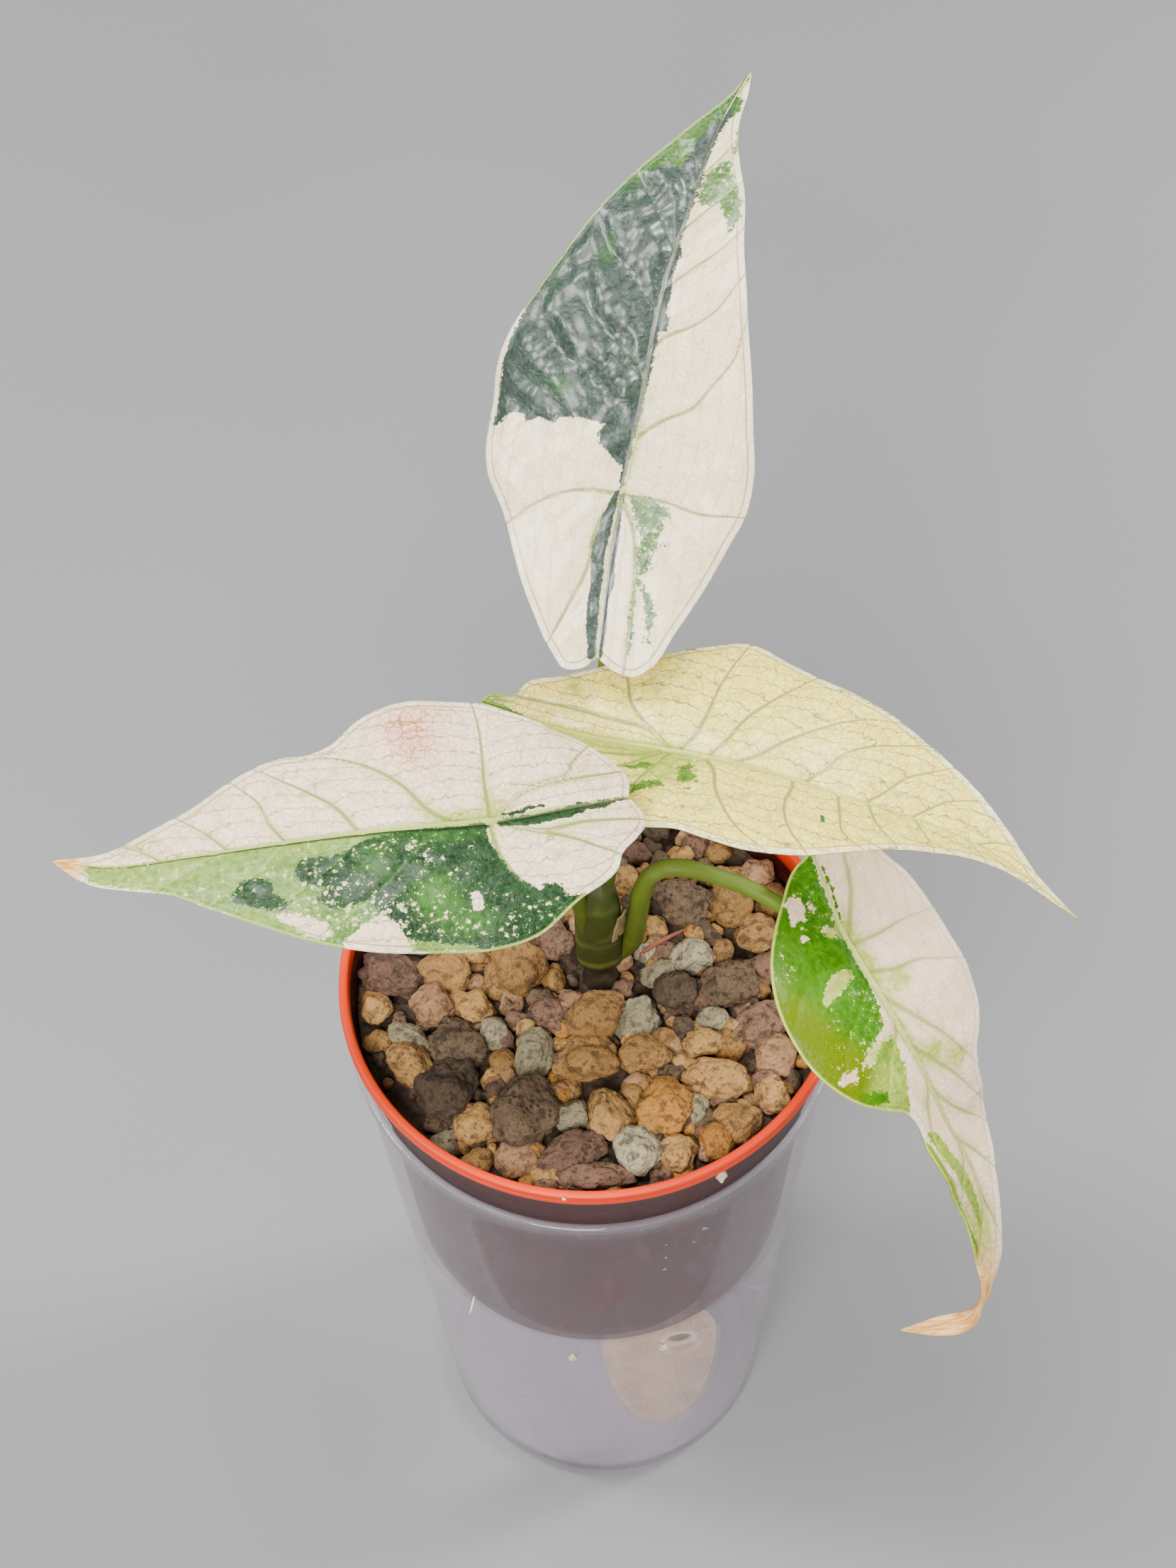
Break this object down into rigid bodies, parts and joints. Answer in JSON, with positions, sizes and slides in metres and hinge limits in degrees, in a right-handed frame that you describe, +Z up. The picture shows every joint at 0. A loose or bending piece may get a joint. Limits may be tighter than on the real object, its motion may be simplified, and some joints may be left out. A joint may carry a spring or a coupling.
{
  "type": "potted variegated alocasia",
  "caption": "Alocasia with pointed cream and green variegated leaves on slim stalks, rooted in gravel in a round nursery pot whose collar hangs in the mouth of a clear cup.",
  "frame": {"origin": "middle of the clear cup's flat underside, on the surface that it stands on", "axes": "+Z up along the cup's axis; -Y towards the viewer of the picture; +X to the viewer's right"},
  "size_m": [0.1688, 0.1703, 0.2503],
  "materials": {
    "clear_plastic": "clear, slightly hazed",
    "pot_plastic": "satin terracotta red",
    "felt": "soft felt, damp",
    "gravel": "porous tan, dark brown and grey-green stones",
    "stem_tissue": "smooth living stem",
    "petiole_tissue": "smooth living leaf stalk",
    "blade_half_green": "living blade, glossy cream and dark green",
    "blade_cream": "living blade, glossy cream with grey-green veins",
    "blade_yellow_green": "living blade, bright green and pale cream, dried tip"
  },
  "bodies": {
    "root": {"clear_cup": "clear_plastic", "nursery_pot": "pot_plastic", "wick": "felt", "gravel_bed": "gravel", "stem": "stem_tissue", "petiole_back": "petiole_tissue", "petiole_left": "petiole_tissue", "petiole_right": "petiole_tissue", "petiole_drooping": "petiole_tissue", "leaf_back": "blade_half_green", "leaf_left": "blade_half_green", "leaf_right": "blade_cream", "leaf_drooping": "blade_yellow_green"}
  },
  "joints": []
}
